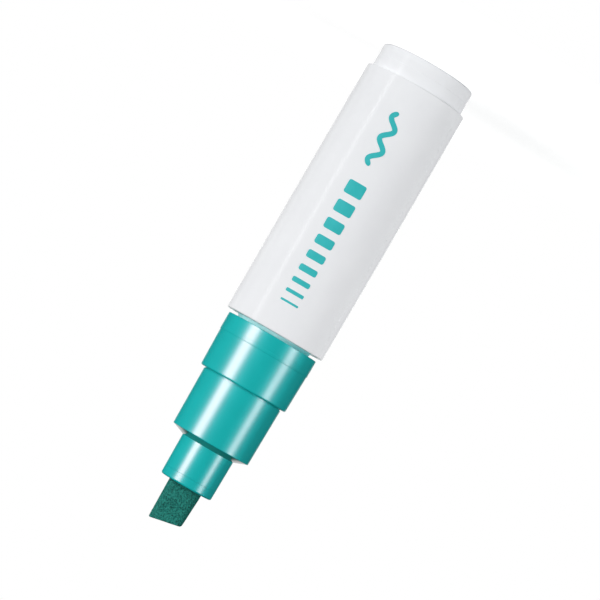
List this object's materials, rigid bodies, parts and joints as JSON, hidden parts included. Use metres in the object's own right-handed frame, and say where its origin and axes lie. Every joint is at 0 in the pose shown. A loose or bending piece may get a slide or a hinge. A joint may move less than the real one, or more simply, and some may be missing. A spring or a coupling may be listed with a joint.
{
  "type": "paint marker",
  "caption": "Uncapped paint marker: white barrel, green stepped front, and a broad chisel felt nib that presses in to open a spring valve, with a loose mixing ball.",
  "frame": {"origin": "centre of the tail plug's end face, on which the marker stands", "axes": "+Z along the barrel from the tail to the nib, and the nib's wide side faces -Y with its longer corner at +X"},
  "size_m": [0.025, 0.025, 0.1196],
  "materials": {
    "white_plastic": "satin-gloss moulded white",
    "green_plastic": "gloss moulded green",
    "nib_felt": "bonded polyester felt soaked in green paint",
    "natural_plastic": "milky natural moulded plastic",
    "seal_rubber": "moulded black rubber",
    "ball_steel": "polished steel",
    "spring_steel": "drawn spring wire"
  },
  "bodies": {
    "marker_body": {"tail_plug": "white_plastic", "barrel": "white_plastic", "neck_gasket": "seal_rubber", "valve_housing": "natural_plastic", "housing_o_ring": "seal_rubber", "spring_retainer": "natural_plastic", "valve_spring": "spring_steel", "collar": "green_plastic", "front_sleeve": "green_plastic", "nib_holder": "green_plastic", "nib_guide": "green_plastic"},
    "nib_valve": {"nib": "nib_felt", "valve_stem": "natural_plastic", "valve_seal": "seal_rubber"},
    "loose_ball": {"mixing_ball": "ball_steel"}
  },
  "joints": [
    {"name": "nib_press", "type": "slide", "parent": "marker_body", "child": "nib_valve", "axis": [0, 0, -1], "range_m": [0, 0.0025], "stiffness_N_per_m": 400, "springref_m": -0.004, "deforming": ["valve_spring"]},
    {"name": "ball_run", "type": "slide", "parent": "marker_body", "child": "loose_ball", "axis": [0, 0, 1], "range_m": [0, 0.05]}
  ]
}
